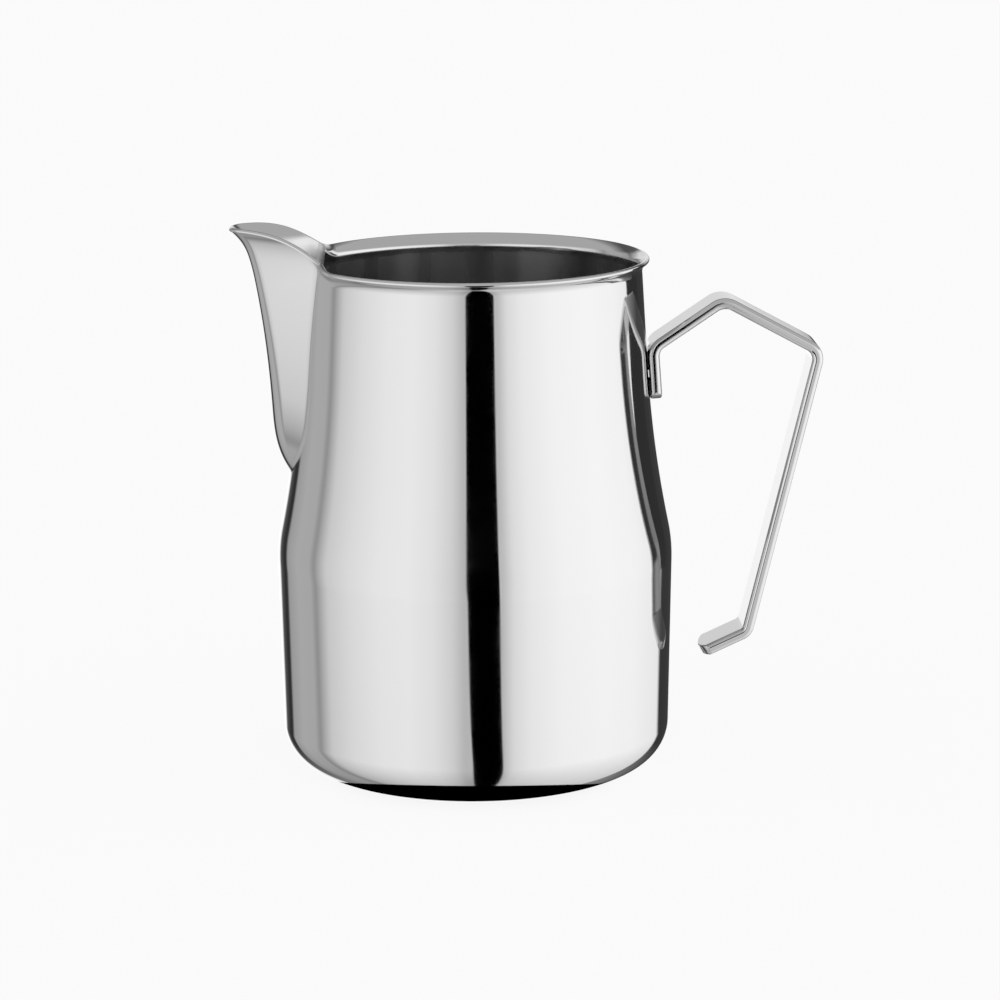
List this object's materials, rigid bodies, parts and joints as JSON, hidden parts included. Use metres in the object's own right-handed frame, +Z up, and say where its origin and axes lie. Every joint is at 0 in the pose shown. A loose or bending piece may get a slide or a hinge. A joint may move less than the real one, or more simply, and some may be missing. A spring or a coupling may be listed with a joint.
{
  "type": "milk frothing pitcher",
  "caption": "Polished steel frothing pitcher: bulged cup with flared lip, raised V spout and a bent flat-bar handle that is open at the bottom.",
  "frame": {"origin": "centre of the base, on the cup's axis, where the pitcher rests", "axes": "+Z up along the cup's axis, +X towards the handle, -X towards the spout, Y across, the pitcher being symmetric in Y"},
  "size_m": [0.1251, 0.084, 0.1161],
  "materials": {
    "mirror_polished_steel": "mirror-polished deep-drawn stainless steel sheet",
    "ground_weld": "stainless weld bead, ground flush and polished",
    "polished_bar_steel": "polished stainless steel flat bar with rounded edges",
    "weld_nugget": "fused stainless steel, bare"
  },
  "bodies": {
    "root": {"body_shell": "mirror_polished_steel", "spout": "mirror_polished_steel", "spout_weld_seam": "ground_weld", "handle": "polished_bar_steel", "handle_spot_welds": "weld_nugget"}
  },
  "joints": []
}
